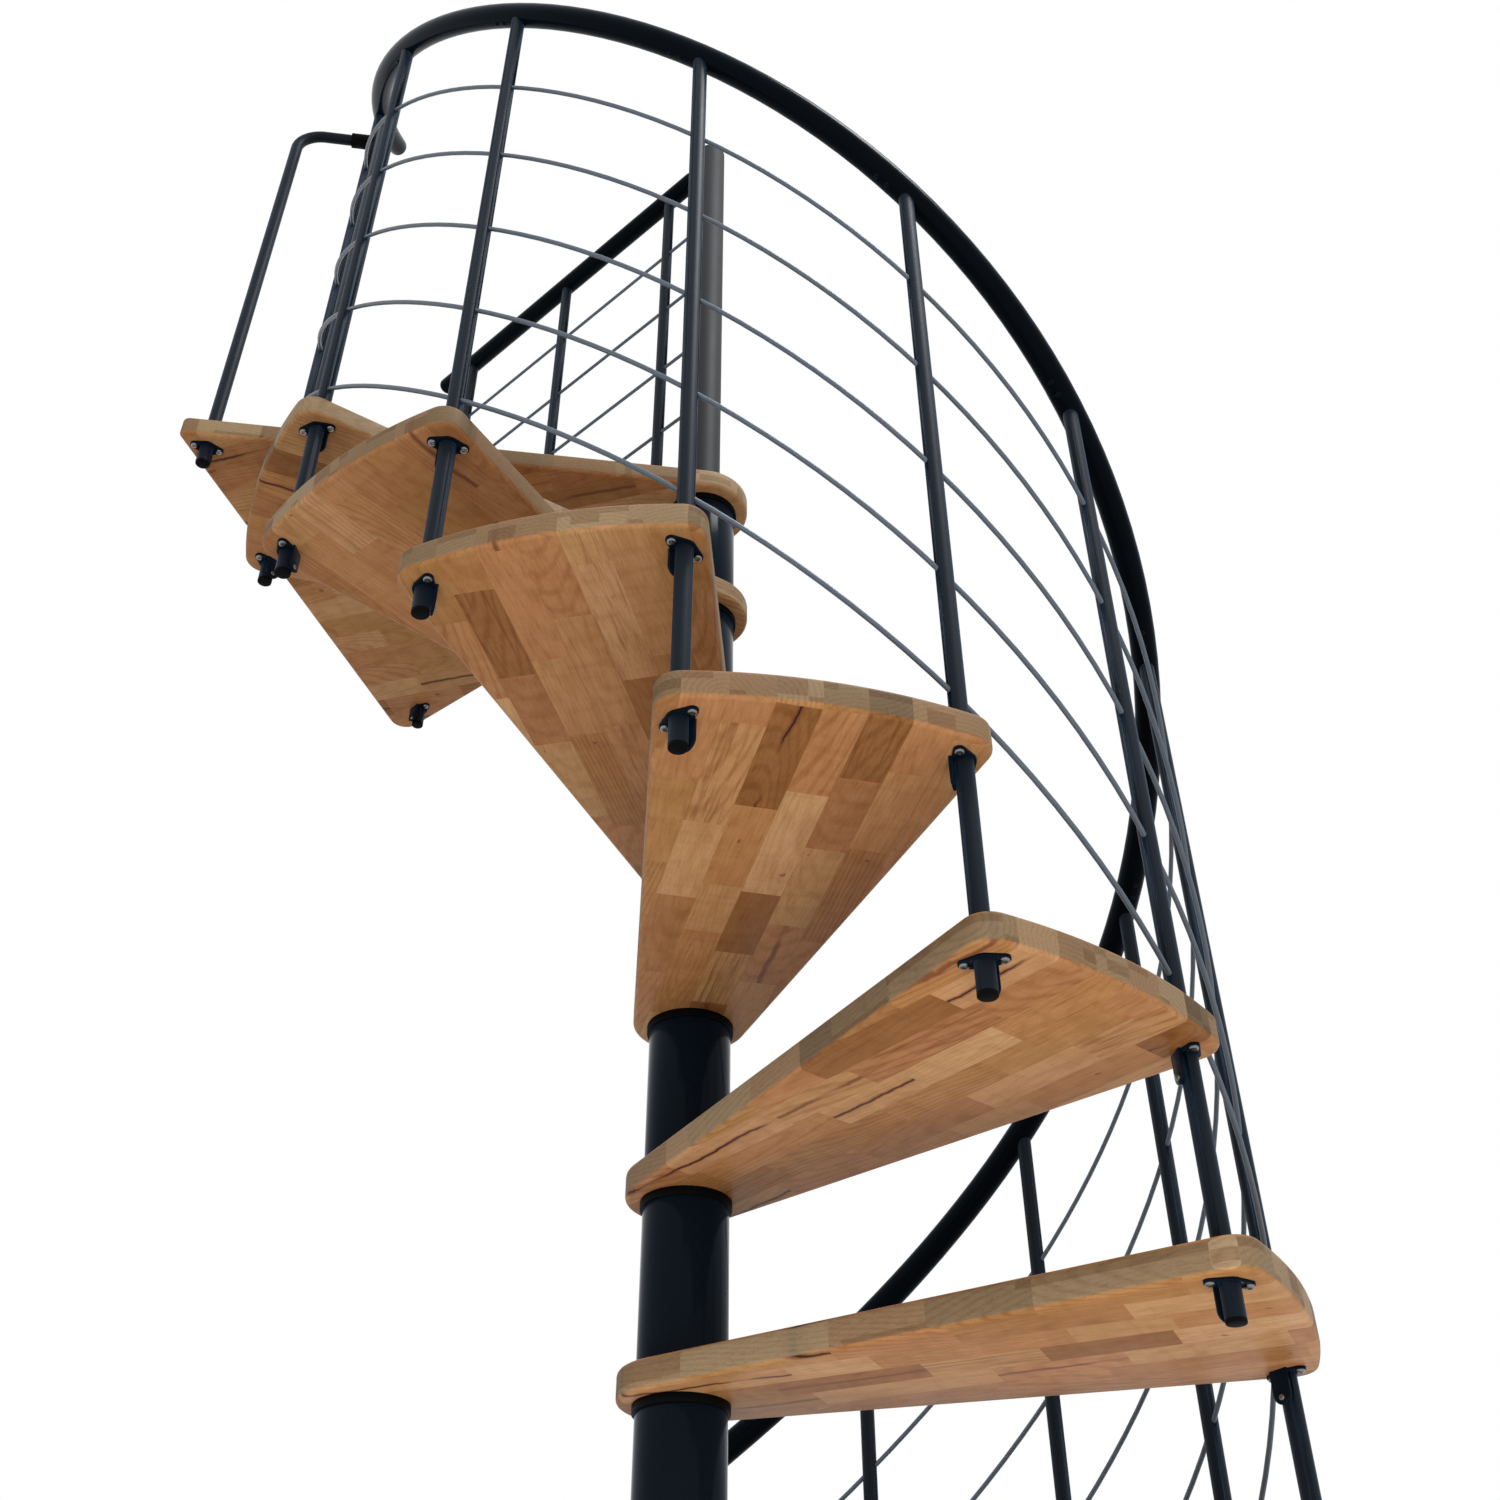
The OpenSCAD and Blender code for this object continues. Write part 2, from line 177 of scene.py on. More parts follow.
def only(piece):
    """Leaves edit mode with one piece selected."""
    bpy.ops.object.mode_set(mode="OBJECT")
    bpy.ops.object.select_all(action="DESELECT")
    piece.select_set(True)
    bpy.context.view_layer.objects.active = piece


def join(name, pieces):
    """Joins pieces into the first of them."""
    only(pieces[0])
    for piece in pieces:
        piece.select_set(True)
    bpy.ops.object.join()
    pieces[0].name = name
    return pieces[0]


def fit(piece, finish, slot, *nodes):
    """Smooths a piece, gives it its finish, and lets it stand for its nodes."""
    only(piece)
    bpy.ops.object.shade_smooth_by_angle(angle=math.radians(40))
    piece.data.materials.clear()
    piece.data.materials.append(finish)
    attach(piece, "root")
    if nodes:
        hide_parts(*nodes)


plate_r = 0.140
plate_t = 0.010
plate = add("base_disc", bpy.ops.mesh.primitive_cylinder_add, vertices=128, radius=plate_r,
            depth=plate_t, location=(0, 0, plate_t / 2))
pick(plate, "EDGE", lambda e: all(v.co.z > plate_t - 1e-5 for v in e.verts))
bpy.ops.mesh.bevel(offset=0.002, segments=3, affect="EDGES")
fit(plate, black_paint, "black", "base_plate")

# Floor bolts: four zinc-plated hexagon bolts with washers, one in each hole of the base plate.
# Forged heads with a turned chamfer, pulled down on flat stamped washers.
zinc, shader, place = material("zinc", {"Metallic": 1.0})
cloud = place.noise(420.0, 4.0)
cloud.mix((0.20, 0.20, 0.205, 1), (0.36, 0.36, 0.355, 1)).into(shader, "Base Color")
(cloud * 0.25 + 0.22).into(shader, "Roughness")
cloud.bump(0.08, 0.0003).into(shader, "Normal")

washer_t = 0.0025
head_h = 0.0075
bolt_circle_r = 0.110
washer = add("washer", bpy.ops.mesh.primitive_cylinder_add, vertices=32, radius=0.014,
             depth=washer_t, location=(0, 0, plate_t + washer_t / 2))
pick(washer, "EDGE", lambda e: all(v.co.z > plate_t + washer_t - 1e-4 for v in e.verts))
bpy.ops.mesh.bevel(offset=0.0006, segments=2, affect="EDGES")
only(washer)
head = add("bolt_head", bpy.ops.mesh.primitive_cylinder_add, vertices=6, radius=0.0106,
           depth=head_h, location=(0, 0, plate_t + washer_t + head_h / 2))
pick(head, "FACE", lambda f: f.normal.z > 0.9)
bpy.ops.mesh.inset(thickness=0.0014)
bpy.ops.transform.translate(value=(0, 0, 0.0008))
only(head)
bolt = join("bolt", [washer, head])


def copy_to(piece, place, turn, size=1.0):
    """A copy of a piece with its own mesh, set at a place, turned and sized."""
    only(piece)
    bpy.ops.object.duplicate()
    copy = bpy.context.object
    copy.location = place
    copy.rotation_euler = turn
    copy.scale = (size, size, size)
    bpy.ops.object.transform_apply(location=True, rotation=True, scale=True)
    return copy


bolts = []
for quarter in range(4):
    turn = math.radians(45 + 90 * quarter)
    spot = (bolt_circle_r * math.cos(turn), bolt_circle_r * math.sin(turn), 0)
    bolts.append(copy_to(bolt, spot, (0, 0, turn)))
bpy.data.objects.remove(bolt)
bolts = join("floor_bolts", bolts)
fit(bolts, zinc, "rod")

# Centre pole: a steel tube from the base plate through all treads to above the landing.
# Only its upper end shows; a turned cap with a soft rim closes it.
pole_paint, shader, place = material("pole_paint", {"Specular IOR Level": 0.21})
cloud = place.noise(14.0, 4.0)
cloud.mix((0.006, 0.0085, 0.011, 1), (0.010, 0.0125, 0.015, 1)).into(shader, "Base Color")
(cloud * 0.08 + 0.56).into(shader, "Roughness")
place.noise(90.0, 2.0).bump(0.005, 0.0006).into(shader, "Normal")
pole_r = 0.027
pole_top = 3.665
cap_h = 0.0055
tube_top = pole_top - cap_h - 0.0005
pole = add("pole_tube", bpy.ops.mesh.primitive_cylinder_add, vertices=96, radius=pole_r,
           depth=tube_top - plate_t, location=(0, 0, (tube_top + plate_t) / 2))
pick(pole, "EDGE", lambda e: all(v.co.z > tube_top - 1e-4 for v in e.verts))
bpy.ops.mesh.bevel(offset=0.0006, segments=2, affect="EDGES")
fit(pole, pole_paint, "black", "centre_pole")

cap = add("pole_end_cap", bpy.ops.mesh.primitive_cylinder_add, vertices=96, radius=pole_r,
          depth=cap_h, location=(0, 0, pole_top - cap_h / 2))
pick(cap, "EDGE", lambda e: all(v.co.z > pole_top - 1e-5 for v in e.verts))
bpy.ops.mesh.bevel(offset=0.0025, segments=5, affect="EDGES")
fit(cap, pole_paint, "black", "pole_cap")

# Column: a gloss black tube between each pair of treads, and a wider collar under each tread.
# The tubes are sawn and deburred, the collars moulded in dull black plastic.
# They are stacked over the pole, which clamps them between the treads.
plastic, shader, place = material("black_plastic", {"Specular IOR Level": 0.04})
cloud = place.noise(60.0, 4.0)
cloud.mix((0.0016, 0.0016, 0.0018, 1), (0.0032, 0.0032, 0.0035, 1)).into(shader, "Base Color")
(cloud * 0.15 + 0.42).into(shader, "Roughness")
place.noise(1500.0, 1.0).bump(0.1, 0.0003).into(shader, "Normal")

steps = 12
rise = 0.225
board_t = 0.034
column_r = 0.0508
collar_r = 0.054
collar_h = 0.010
tubes = []
collars = []
for n in range(1, steps + 1):
    foot = plate_t if n == 1 else rise * (n - 1)
    under = rise * n - board_t
    top = under - collar_h
    tubes.append(add("tube", bpy.ops.mesh.primitive_cylinder_add, vertices=96, radius=column_r,
                     depth=top - foot, location=(0, 0, (top + foot) / 2)))
    collars.append(add("collar", bpy.ops.mesh.primitive_cylinder_add, vertices=96, radius=collar_r,
                       depth=collar_h, location=(0, 0, under - collar_h / 2)))
for name, pieces, size, finish in (("column_tube", tubes, 0.0006, black_paint),
                                   ("column_collar", collars, 0.0007, plastic)):
    piece = join(name, pieces)
    pick(piece, "EDGE", lambda e: abs(e.verts[0].co.z - e.verts[1].co.z) < 1e-6)
    bpy.ops.mesh.bevel(offset=size, segments=3, affect="EDGES")
    fit(piece, finish, "black", name + "s")

# Treads: wedge boards of laminated beech, glued up from short staves and varnished.
# Sawn to a round inner end and an arc outside, corners and edges rounded over with a cutter.
beech, shader, place = material("beech", {"Specular IOR Level": 0.11})
grain = place.node("ShaderNodeAttribute", {"attribute_name": "board"}, {}, "Vector")
edge = place.node("ShaderNodeAttribute", {"attribute_name": "edge"}, {}, "Fac")
along = grain.part("X")
across = grain.part("Y")
depth = grain.part("Z")
stave_w = 0.0455
stave_l = 0.155
row = math.floor(across / stave_w)
in_row = across / stave_w - row


def draw(first, second, third):
    """Three chance values between 0 and 1 that belong to three numbers."""
    numbers = place.node("ShaderNodeCombineXYZ", {}, {"X": first, "Y": second, "Z": third})
    settings = {"noise_dimensions": "3D"}
    return place.node("ShaderNodeTexWhiteNoise", settings, {"Vector": numbers}, "Color")


run = along / stave_l + draw(row, 3.0, 1.0).part("X") * 9.0
count = math.floor(run)
stave = count - ((run - count) < draw(row, count, 5.0).part("X") * 0.5)
lot = draw(row, stave, 9.0)
tone, hue, flaw = lot.part("X"), lot.part("Y"), lot.part("Z")
sawn = draw(row, stave, 23.0)
fibre = grain.shift(lot.stretch((7.0, 5.0, 3.0)))
wavy = fibre.stretch((4.0, 16.0, 16.0)).noise(2.0, 2.0)
fine = fibre.stretch((12.0, 170.0, 170.0)).noise(3.0, 4.0, 0.6)
cloud = fibre.stretch((9.0, 30.0, 30.0)).noise(2.0, 3.0)
flecks = fibre.stretch((150.0, 950.0, 950.0)).noise(1.3, 1.0).ramp(0.62, 0.72)
off_y = (in_row - 0.5) * stave_w + (sawn.part("X") - 0.5) * 0.09
tilt = (sawn.part("Z") - 0.5) * 0.35 * (along - stave * stave_l)
off_z = depth + 0.022 + sawn.part("Y") * 0.05 + tilt
heart_r = place.maths("SQRT", off_y * off_y + off_z * off_z)
rings = place.maths("SINE", heart_r * 1150.0 + wavy * 9.0) * 0.5 + 0.5

brown = (0.255, 0.110, 0.037, 1)
middle = (0.400, 0.194, 0.075, 1)
pale = (0.510, 0.295, 0.143, 1)
ground = tone.ramp(0.0, 0.45).mix(brown, middle)
ground = tone.ramp(0.5, 1.0).mix(ground, pale)
ground = ((hue < 0.28) * 0.4).mix(ground, (0.370, 0.196, 0.066, 1))
ground = ((hue > 0.75) * 0.4).mix(ground, (0.430, 0.200, 0.094, 1))
curl = fibre.stretch((46.0, 9.0, 9.0)).noise(1.5, 2.0)
ground = (cloud.ramp(0.35, 0.7) * 0.6).darken(ground, (0.80, 0.72, 0.62, 1))
ground = (curl.ramp(0.45, 0.7) * 0.5).darken(ground, (0.84, 0.80, 0.74, 1))
late_wood = rings.ramp(0.5, 1.0) * (sawn.part("X") * 0.55 + 0.10)
ground = late_wood.darken(ground, (0.72, 0.62, 0.52, 1))
ground = (fine.ramp(0.42, 0.75) * 0.65).darken(ground, (0.74, 0.66, 0.58, 1))
ground = (flecks * 0.4).darken(ground, (0.50, 0.42, 0.40, 1))
flame = fibre.stretch((5.0, 100.0, 100.0)).noise(2.0, 2.0).ramp(0.52, 0.68)
ground = (flame * (flaw < 0.06) * 0.5).darken(ground, (0.50, 0.34, 0.30, 1))
bent = in_row + (fibre.stretch((1.0, 0.0, 0.0)).noise(12.0, 4.0, 0.6) - 0.5) * 0.5
held = fibre.stretch((1.0, 0.0, 0.0)).noise(7.0, 1.0).ramp(0.36, 0.5)
streak = (1.0 - abs(bent - 0.5).ramp(0.02, 0.11)) * (flaw > 0.80) * held
ground = (streak * 0.85).mix(ground, (0.150, 0.048, 0.022, 1))
crack = (1.0 - abs(bent - 0.5).ramp(0.014, 0.036)) * (flaw > 0.88) * held
ground = (crack * 0.92).mix(ground, (0.028, 0.010, 0.007, 1))
knot = fibre.stretch((0.6, 1.0, 1.0)).noise(75.0, 0.0).ramp(0.855, 0.89)
ground = (knot * 0.7).darken(ground, (0.30, 0.26, 0.26, 1))
seam = 1.0 - (0.5 - abs(in_row - 0.5)).ramp(0.0, 0.012)
ground = (seam * 0.4).darken(ground, (0.55, 0.50, 0.48, 1))
sides = tone.mix((0.140, 0.103, 0.060, 1), (0.370, 0.272, 0.164, 1))
sides = (hue.ramp(0.7, 0.75) * 0.5).mix(sides, (0.27, 0.165, 0.088, 1))
patch_w = 0.0303
patch_h = 0.0125
patch = draw(math.floor(across / patch_w), math.floor(depth / patch_h), row).part("X")
sides = ((patch > 0.82) * 0.7).darken(sides, (0.60, 0.52, 0.46, 1))
lines = rings.ramp(0.4, 1.0) * 0.3 + fine.ramp(0.4, 0.7) * 0.4
sides = lines.darken(sides, (0.68, 0.64, 0.60, 1))
sides = (flecks * 0.5).darken(sides, (0.45, 0.40, 0.38, 1))
(edge.ramp(0.25, 0.75) * 0.85).mix(ground, sides).into(shader, "Base Color")
(fine * 0.16 + edge * 0.15 + 0.34).into(shader, "Roughness")
(fine * 0.6 + cloud * 0.4 - crack).bump(0.1, 0.0006).into(shader, "Normal")


edge_r = 0.006
edge_fade = 0.005


def board(name, discs):
    """Upright discs (x, y, radius) that a board is spanned around, with their tops at z = 0."""
    x, y, r = discs[0]
    piece = add(name, bpy.ops.mesh.primitive_cylinder_add, vertices=72, radius=r, depth=board_t,
                location=(x, y, -board_t / 2))
    bpy.ops.object.mode_set(mode="EDIT")
    for x, y, r in discs[1:]:
        bpy.ops.mesh.primitive_cylinder_add(vertices=360 if r > 0.5 else 60, radius=r,
                                            depth=board_t, location=(x, y, -board_t / 2))
    return piece


def round_over(piece):
    """Spans the board, cleans its flats, rounds its edges and marks its grain and its sides."""
    bpy.ops.mesh.select_all(action="SELECT")
    bpy.ops.mesh.convex_hull()
    bpy.ops.mesh.select_all(action="SELECT")
    bpy.ops.mesh.dissolve_limited(angle_limit=math.radians(0.2))
    pick(piece, "EDGE", lambda e: abs(e.verts[0].co.z - e.verts[1].co.z) < 1e-6)
    bpy.ops.mesh.bevel(offset=edge_r, segments=4, affect="EDGES")
    only(piece)
    local = piece.data.attributes.new("board", "FLOAT_VECTOR", "POINT")
    for point, value in zip(piece.data.vertices, local.data):
        value.vector = point.co
    upright = piece.data.attributes.new("edge", "FLOAT", "POINT")
    for point, value in zip(piece.data.vertices, upright.data):
        past = abs(point.co.z + board_t / 2) - board_t / 2 + edge_r
        value.value = 1 - min(1, max(0, past) / edge_fade)


def lay(piece, name, turn, height, shift):
    """A copy of a board at its place in the stair, cut from another place of the glued panel."""
    copy = copy_to(piece, (0, 0, height), (0, 0, math.radians(turn)))
    copy.name = name
    for value in copy.data.attributes["board"].data:
        value.vector = value.vector + shift
    return copy


hub_r = 0.0715
tread_r = 0.670
corner_r = 0.028
tread_half = math.radians(9)
reach = math.sqrt((tread_r - corner_r) ** 2 - (hub_r - corner_r) ** 2)
corner_x = reach * math.cos(tread_half) - (hub_r - corner_r) * math.sin(tread_half)
corner_y = reach * math.sin(tread_half) + (hub_r - corner_r) * math.cos(tread_half)
tread = board("board", [(0, 0, hub_r), (corner_x, corner_y, corner_r),
                        (corner_x, -corner_y, corner_r), (0, 0, tread_r)])
spread = math.atan2(corner_y, corner_x)
pick(tread, "VERT", lambda v: (v.co.xy.length > tread_r - 1e-6
                               and abs(math.atan2(v.co.y, v.co.x)) > spread))
bpy.ops.mesh.delete(type="VERT")
round_over(tread)


step_turn = 26.2
last_bearing = 208


def baluster_angle(n):
    return last_bearing + (steps - n) * step_turn


def tread_angle(n):
    return baluster_angle(n) - step_turn / 2


for n in range(1, steps):
    shift = Vector((0.107 * n, stave_w * (n * 3 % 7) + 0.013 * n, 0))
    copy = lay(tread, "tread_board_%02d" % n, tread_angle(n), rise * n, shift)
    fit(copy, beech, "wood", "tread_%02d" % n)
bpy.data.objects.remove(tread)

# Landing: the top board of the same glued beech, a triangle with a straight outer edge.
# Its staves run square to that edge; corners and edges are rounded over like the treads'.
landing_half = math.radians(24.1)
landing_depth = 0.71296
exit_corner_r = 0.011


def landing_corner(r):
    """The centre of a corner disc of the landing that touches its side and its straight edge."""
    x, y = -(hub_r - r) * math.sin(landing_half), (hub_r - r) * math.cos(landing_half)
    length = (landing_depth - r - x) / math.cos(landing_half)
    return x + length * math.cos(landing_half), y + length * math.sin(landing_half)


exit_x, exit_y = landing_corner(exit_corner_r)
rail_x, rail_y = landing_corner(corner_r)
landing = board("board", [(0, 0, hub_r), (exit_x, exit_y, exit_corner_r),
                          (rail_x, -rail_y, corner_r)])
round_over(landing)
copy = lay(landing, "landing_board", 180, rise * steps, Vector((3.1, 2.02, 0)))
fit(copy, beech, "wood", "landing")
bpy.data.objects.remove(landing)

# Balusters: twelve satin black tubes, each through two treads, with a plastic plug below.
# Sawn tube, drilled on a slant for the rods, powder-coated and pushed up into the handrail.
# Satin paint that also carries the painted blue rim sheen of the black paint.
satin_and_painted_sheen = {**painted_blue_sheen, "Specular IOR Level": 0.15, "Sheen Weight": 0.10}
tube_paint, shader, place = material("tube_paint", satin_and_painted_sheen)
cloud = place.noise(16.0, 4.0)
# The navy cast of this near-black base colour is a painted reflection of blue sky; the tube paint
# itself is black.
cloud.mix((0.0016, 0.0040, 0.0074, 1), (0.0026, 0.0054, 0.0092, 1)).into(shader, "Base Color")
(cloud * 0.06 + 0.48).into(shader, "Roughness")
place.noise(90.0, 2.0).bump(0.005, 0.0006).into(shader, "Normal")


def from_frame(name, *nodes):
    """A new piece with the shape of nodes of the frame, its double points merged."""
    pieces = []
    for node in nodes:
        piece = bpy.data.objects.new(name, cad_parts[node].data.copy())
        bpy.context.collection.objects.link(piece)
        pieces.append(piece)
    piece = join(name, pieces)
    pick(piece, "VERT", lambda v: True)
    bpy.ops.mesh.remove_doubles(threshold=0.00002)
    only(piece)
    return piece


for n in range(1, steps + 1):
    node = "baluster_%02d" % n
    fit(from_frame("baluster_tube_%02d" % n, node), tube_paint, "black", node)

circle_r = 0.636
baluster_r = 0.010
stub = 0.038
plug_h = 0.004


def plug_at(x, y, foot):
    """The rim of a tube plug, with a soft lower edge."""
    plug = add("plug", bpy.ops.mesh.primitive_cylinder_add, vertices=40, radius=baluster_r,
               depth=plug_h, location=(x, y, foot + plug_h / 2))
    pick(plug, "EDGE", lambda e: all(v.co.z < foot + 1e-5 for v in e.verts))
    bpy.ops.mesh.bevel(offset=0.0012, segments=3, affect="EDGES")
    only(plug)
    return plug


plugs = []
for n in range(1, steps + 1):
    turn = math.radians(baluster_angle(n))
    foot = 0 if n == 1 else rise * (n - 1) - board_t - stub
    plugs.append(plug_at(circle_r * math.cos(turn), circle_r * math.sin(turn), foot))
fit(join("baluster_end_plugs", plugs), plastic, "black", "baluster_plugs")

# Brackets: a bent steel strap under the wood at each tube, gloss black.
# Punched and folded: a plate with two screws up into the wood and a tab down along the tube.
for name, node in (("tread_straps", "tread_brackets"), ("landing_straps", "landing_brackets")):
    strap = from_frame(name, node)
    pick(strap, "FACE", lambda f: True)
    bpy.ops.mesh.dissolve_limited(angle_limit=math.radians(1))
    only(strap)
    soft = strap.modifiers.new("soft", "BEVEL")
    soft.width = 0.0006
    soft.segments = 2
    soft.limit_method = "ANGLE"
    soft.angle_limit = math.radians(50)
    bpy.ops.object.modifier_apply(modifier="soft")
    fit(strap, black_paint, "black", node)

# Screws: zinc-plated pan-head screws, two up through each plate and a smaller one in each tab.
# Cold-headed with a socket, so the dome has a soft rim and a small recess.
screw_h = 0.0028
screw_sides = 16
screw = add("screw", bpy.ops.mesh.primitive_cylinder_add, vertices=screw_sides, radius=0.005,
            depth=screw_h, location=(0, 0, -screw_h / 2))
pick(screw, "EDGE", lambda e: all(v.co.z < 1e-4 - screw_h for v in e.verts))
bpy.ops.mesh.bevel(offset=0.0019, segments=3, affect="EDGES")
pick(screw, "FACE", lambda f: f.normal.z < -0.99 and len(f.verts) == screw_sides)
bpy.ops.mesh.inset(thickness=0.001)
bpy.ops.mesh.extrude_region_move(TRANSFORM_OT_translate={"value": (0, 0, 0.0012)})
only(screw)
eye_r = 0.0103
strap_t = 0.003
strap_turn = 33
screw_off = 0.0185
tab_drop = 0.027
seats = []
for n in range(1, steps):
    for side in (-1, 1):
        seats.append((tread_angle(n), circle_r, side * step_turn / 2, strap_turn, side > 0,
                      rise * n - board_t))
top_under = rise * steps - board_t
exit_turn = -39
exit_reach = 0.133
last_turn = math.radians(last_bearing - 180)
last_x, last_y = circle_r * math.cos(last_turn), circle_r * math.sin(last_turn)
post_x = last_x + exit_reach * math.cos(landing_half)
post_y = last_y + exit_reach * math.sin(landing_half)
for x, y in ((last_x, last_y), (post_x, post_y)):
    seats.append((180, math.hypot(x, y), math.degrees(math.atan2(y, x)), exit_turn, True,
                  top_under))
rail_bearing = -27.4
post_rs = (0.115, 0.4207, 0.7265)
for r in post_rs:
    seats.append((180, r, rail_bearing, rail_bearing, False, top_under))
heads = []
for axis, r, bearing, turn, mirrored, height in seats:
    flip = -1 if mirrored else 1
    for x, y, z, tipped, size in ((screw_off, 0, -strap_t, 0, 1.0),
                                  (-screw_off, 0, -strap_t, 0, 1.0),
                                  (0, eye_r + strap_t, -tab_drop, 90, 0.65)):
        c, s = math.cos(math.radians(turn)), math.sin(math.radians(turn))
        px = r * math.cos(math.radians(bearing)) + x * c - y * s
        py = r * math.sin(math.radians(bearing)) + flip * (x * s + y * c)
        c, s = math.cos(math.radians(axis)), math.sin(math.radians(axis))
        heading = axis + flip * turn + (180 if mirrored else 0)
        heads.append(copy_to(screw, (px * c - py * s, px * s + py * c, height + z),
                             (math.radians(tipped), 0, math.radians(heading)), size))
fit(join("strap_screws", heads), zinc, "rod")

# Handrail: one oval black plastic rail on the helix, over the tops of the balusters.
# Extruded in one length, bent warm to the helix, with a moulded round end at each end.
slope = math.radians(37.7)
# Dull plastic that also carries a weaker share of the painted blue rim sheen.
dull_and_painted_sheen = {**painted_blue_sheen, "Specular IOR Level": 0.025, "Sheen Weight": 0.05}
rail, shader, place = material("rail_plastic", dull_and_painted_sheen)
cloud = place.noise(11.0, 4.0)
scuff = place.stretch((1.0, 1.0, 0.3)).noise(240.0, 3.0).ramp(0.6, 0.8)
cloud.mix((0.0009, 0.0018, 0.0028, 1), (0.0018, 0.0030, 0.0042, 1)).into(shader, "Base Color")
(cloud * 0.1 + scuff * 0.12 + 0.17).into(shader, "Roughness")
place.noise(300.0, 2.0).bump(0.04, 0.0006).into(shader, "Normal")


def helix(name, sides, width, height, radius, first, last, above):
    """A bar on the stair's helix from one baluster number to another, open at both ends."""
    piece = add(name, bpy.ops.mesh.primitive_circle_add, vertices=sides, radius=width / 2)
    bpy.ops.object.mode_set(mode="EDIT")
    bpy.ops.mesh.select_all(action="SELECT")
    bpy.ops.transform.resize(value=(1, height / width, 1))
    bpy.ops.transform.rotate(value=slope - math.pi / 2, orient_axis="X",
                             center_override=(0, 0, 0))
    bpy.ops.transform.translate(value=(radius, 0, rise * first - board_t + above))
    only(piece)
    wind = piece.modifiers.new("wind", "SCREW")
    wind.angle = -math.radians(step_turn) * (last - first)
    wind.screw_offset = rise * (last - first)
    wind.steps = wind.render_steps = round(10 * (last - first))
    bpy.ops.object.modifier_apply(modifier="wind")
    piece.rotation_euler = (0, 0, math.radians(baluster_angle(first)))
    bpy.ops.object.transform_apply(location=True, rotation=True, scale=True)
    return piece


def close_ends(piece, size, segments):
    """Closes a bar's two open ends and rounds their rims."""
    pick(piece, "EDGE", lambda e: e.is_boundary)
    bpy.ops.mesh.fill_holes(sides=0)
    bpy.ops.mesh.select_all(action="SELECT")
    bpy.ops.mesh.normals_make_consistent(inside=False)
    pick(piece, "EDGE", lambda e: any(len(f.verts) > 4 for f in e.link_faces))
    bpy.ops.mesh.bevel(offset=size, segments=segments, affect="EDGES")


rail_w = 0.036
rail_h = 0.037
rail_above = 0.953
rail_past = 0.587
rail_end_r = 0.013
handrail = helix("rail_grip", 40, rail_w, rail_h, circle_r, 1 - rail_past, steps + rail_past,
                 rail_above)
close_ends(handrail, rail_end_r, 6)
fit(handrail, rail, "rail", "handrail")

# Rail screws: two small black screws up into the handrail beside each baluster's top.
# They hold the tongue of the tube's end inside the rail, and only their heads show.
seat_below = 0.0183
heads = []
for n in range(1, steps + 1):
    for share in (0.06, 0.11):
        turn = math.radians(baluster_angle(n + share))
        height = rise * (n + share) - board_t + rail_above - seat_below * math.cos(slope)
        side = -seat_below * math.sin(slope)
        seat = (circle_r * math.cos(turn) - side * math.sin(turn),
                circle_r * math.sin(turn) + side * math.cos(turn), height)
        heads.append(copy_to(screw, seat, (-slope, 0, turn), 0.72))
fit(join("rail_screws", heads), black_paint, "black")

# Infill rods: five thin grey rods, each one length through all balusters along the helix.
# Drawn stainless wire rod with a dull grey surface, sprung into the slanted holes.
steel, shader, place = material("grey_steel", {"Metallic": 0.3, "Specular IOR Level": 0.25})
cloud = place.noise(30.0, 4.0)
drawn = place.stretch((1.0, 1.0, 6.0)).noise(500.0, 2.0)
tint = (cloud * 0.8 + drawn * 0.2).mix((0.094, 0.121, 0.157, 1), (0.124, 0.153, 0.189, 1))
tint.into(shader, "Base Color")
(drawn * 0.1 + 0.36).into(shader, "Roughness")
drawn.bump(0.02, 0.0002).into(shader, "Normal")
rod_d = 0.006
rod_circle_r = 0.63617
first_rod = 0.078
rod_pitch = 0.169
for i in range(1, 6):
    rod = helix("rod_wire_%02d" % i, 12, rod_d, rod_d, rod_circle_r, 1, steps,
                first_rod + rod_pitch * (i - 1))
    close_ends(rod, 0.0006, 2)
    fit(rod, steel, "rod", "infill_rod_%02d" % i)

# Landing rail: three posts, a straight handrail over them, and five rods into the pole.
# The same tube, plugs, rail and rods as on the helix, here in straight lengths.
fit(from_frame("landing_tubes", "landing_posts"), tube_paint, "black", "landing_posts")
rail_turn = math.radians(180 + rail_bearing)
plugs = [plug_at(-post_x, -post_y, top_under - stub)]
for r in post_rs:
    plugs.append(plug_at(r * math.cos(rail_turn), r * math.sin(rail_turn), top_under - stub))
fit(join("landing_end_plugs", plugs), plastic, "black", "landing_plugs")
fit(from_frame("landing_wires", "landing_rods"), steel, "rod", "landing_rods")
rail_from = 0.038
rail_to = post_rs[2] + 0.106
landing_rail_above = 0.964
grip = add("landing_grip", bpy.ops.mesh.primitive_circle_add, vertices=40, radius=rail_w / 2)
bpy.ops.object.mode_set(mode="EDIT")
bpy.ops.mesh.select_all(action="SELECT")
bpy.ops.transform.rotate(value=math.pi / 2, orient_axis="Y", center_override=(0, 0, 0))
bpy.ops.transform.translate(value=(rail_from, 0, top_under + landing_rail_above))
bpy.ops.mesh.extrude_region_move(TRANSFORM_OT_translate={"value": (rail_to - rail_from, 0, 0)})
only(grip)
grip.rotation_euler = (0, 0, rail_turn)
bpy.ops.object.transform_apply(location=True, rotation=True, scale=True)
close_ends(grip, rail_end_r, 6)
fit(grip, rail, "rail", "landing_handrail")

